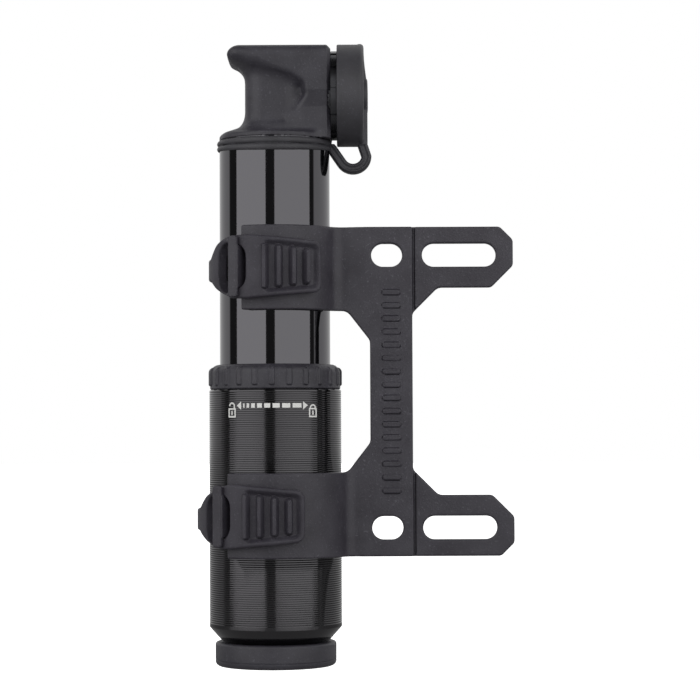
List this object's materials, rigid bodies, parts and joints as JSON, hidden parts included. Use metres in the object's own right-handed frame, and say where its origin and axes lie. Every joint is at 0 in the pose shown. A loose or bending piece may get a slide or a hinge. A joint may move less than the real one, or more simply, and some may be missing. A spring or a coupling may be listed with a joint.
{
  "type": "bicycle mini pump with bracket",
  "caption": "Hand pump for bicycle tyres: barrel, telescoping handle with twist lock, finger-horn head with capped valve chuck, in a side-mount bracket with rubber straps.",
  "frame": {"origin": "on the bracket's back face, midway between the two bolt slots beside the pump", "axes": "+Z along the pump towards its head, +X from the pump towards the bracket's tabs, +Y out of the bracket's back face into the bicycle frame"},
  "size_m": [0.0747, 0.0402, 0.1473],
  "materials": {
    "bracket_nylon": "moulded glass-filled nylon, matte",
    "strap_rubber": "moulded rubber, matte",
    "anodised_gloss": "polished black anodised aluminium",
    "anodised_satin": "black anodised aluminium with fine turned grooves",
    "head_nylon": "moulded glass-filled nylon, matte",
    "chuck_anodised": "black anodised aluminium",
    "cap_rubber": "moulded rubber, matte",
    "seal_rubber": "nitrile rubber",
    "guide_plastic": "acetal, satin",
    "spring_steel": "spring steel",
    "rod_anodised": "clear anodised aluminium, satin",
    "screw_steel": "zinc-plated steel",
    "cap_nylon": "moulded nylon, matte",
    "collar_nylon": "moulded nylon, matte"
  },
  "bodies": {
    "bracket": {"mount_bracket": "bracket_nylon", "strap_band_upper": "strap_rubber", "strap_band_lower": "strap_rubber"},
    "upper_strap_end": {"strap_eyelet_upper": "strap_rubber", "strap_tail_upper": "strap_rubber"},
    "lower_strap_end": {"strap_eyelet_lower": "strap_rubber", "strap_tail_lower": "strap_rubber"},
    "pump": {"barrel_tube": "anodised_gloss", "pump_head": "head_nylon", "head_seal": "seal_rubber", "valve_spring": "spring_steel", "chuck_ring": "chuck_anodised", "valve_gasket": "seal_rubber", "valve_pin": "guide_plastic", "tether_ring": "cap_rubber", "cap_tether": "cap_rubber", "rod_guide": "guide_plastic", "bump_stop": "seal_rubber"},
    "valve": {"valve_poppet": "guide_plastic"},
    "cap": {"dust_cap": "cap_rubber"},
    "handle": {"handle_sleeve": "anodised_satin", "sleeve_bushing": "guide_plastic", "handle_bulkhead": "guide_plastic", "rod_screw": "screw_steel", "piston_rod": "rod_anodised", "piston_head": "guide_plastic", "piston_seal": "seal_rubber", "end_cap": "cap_nylon", "wiper_ring": "seal_rubber"},
    "collar": {"lock_collar": "collar_nylon"}
  },
  "joints": [
    {"name": "pump_slide", "type": "slide", "parent": "bracket", "child": "pump", "axis": [0, 0, 1], "range_m": [-0.005, 0.012]},
    {"name": "handle_stroke", "type": "slide", "parent": "pump", "child": "handle", "axis": [0, 0, -1], "range_m": [0, 0.087]},
    {"name": "lock_twist", "type": "hinge", "parent": "handle", "child": "collar", "pos_m": [-0.0265, 0.0042, 0.0035], "axis": [0, 0, 1], "range_deg": [-70, 0]},
    {"name": "dust_cap_swing", "type": "hinge", "parent": "pump", "child": "cap", "pos_m": [-0.00867, 0.0042, 0.0519], "axis": [0, 1, 0], "range_deg": [0, 100], "deforming": ["cap_tether"]},
    {"name": "valve_lift", "type": "slide", "parent": "pump", "child": "valve", "axis": [0, 0, 1], "range_m": [0, 0.0008], "stiffness_N_per_m": 60, "springref_m": -0.001, "deforming": ["valve_spring"]},
    {"name": "upper_strap_open", "type": "hinge", "parent": "bracket", "child": "upper_strap_end", "pos_m": [-0.04105, 0.0042, 0.02881], "axis": [0, 0, -1], "range_deg": [0, 70], "deforming": ["strap_eyelet_upper"]},
    {"name": "lower_strap_open", "type": "hinge", "parent": "bracket", "child": "lower_strap_end", "pos_m": [-0.04383, 0.0042, -0.02881], "axis": [0, 0, -1], "range_deg": [0, 70], "deforming": ["strap_eyelet_lower"]}
  ]
}
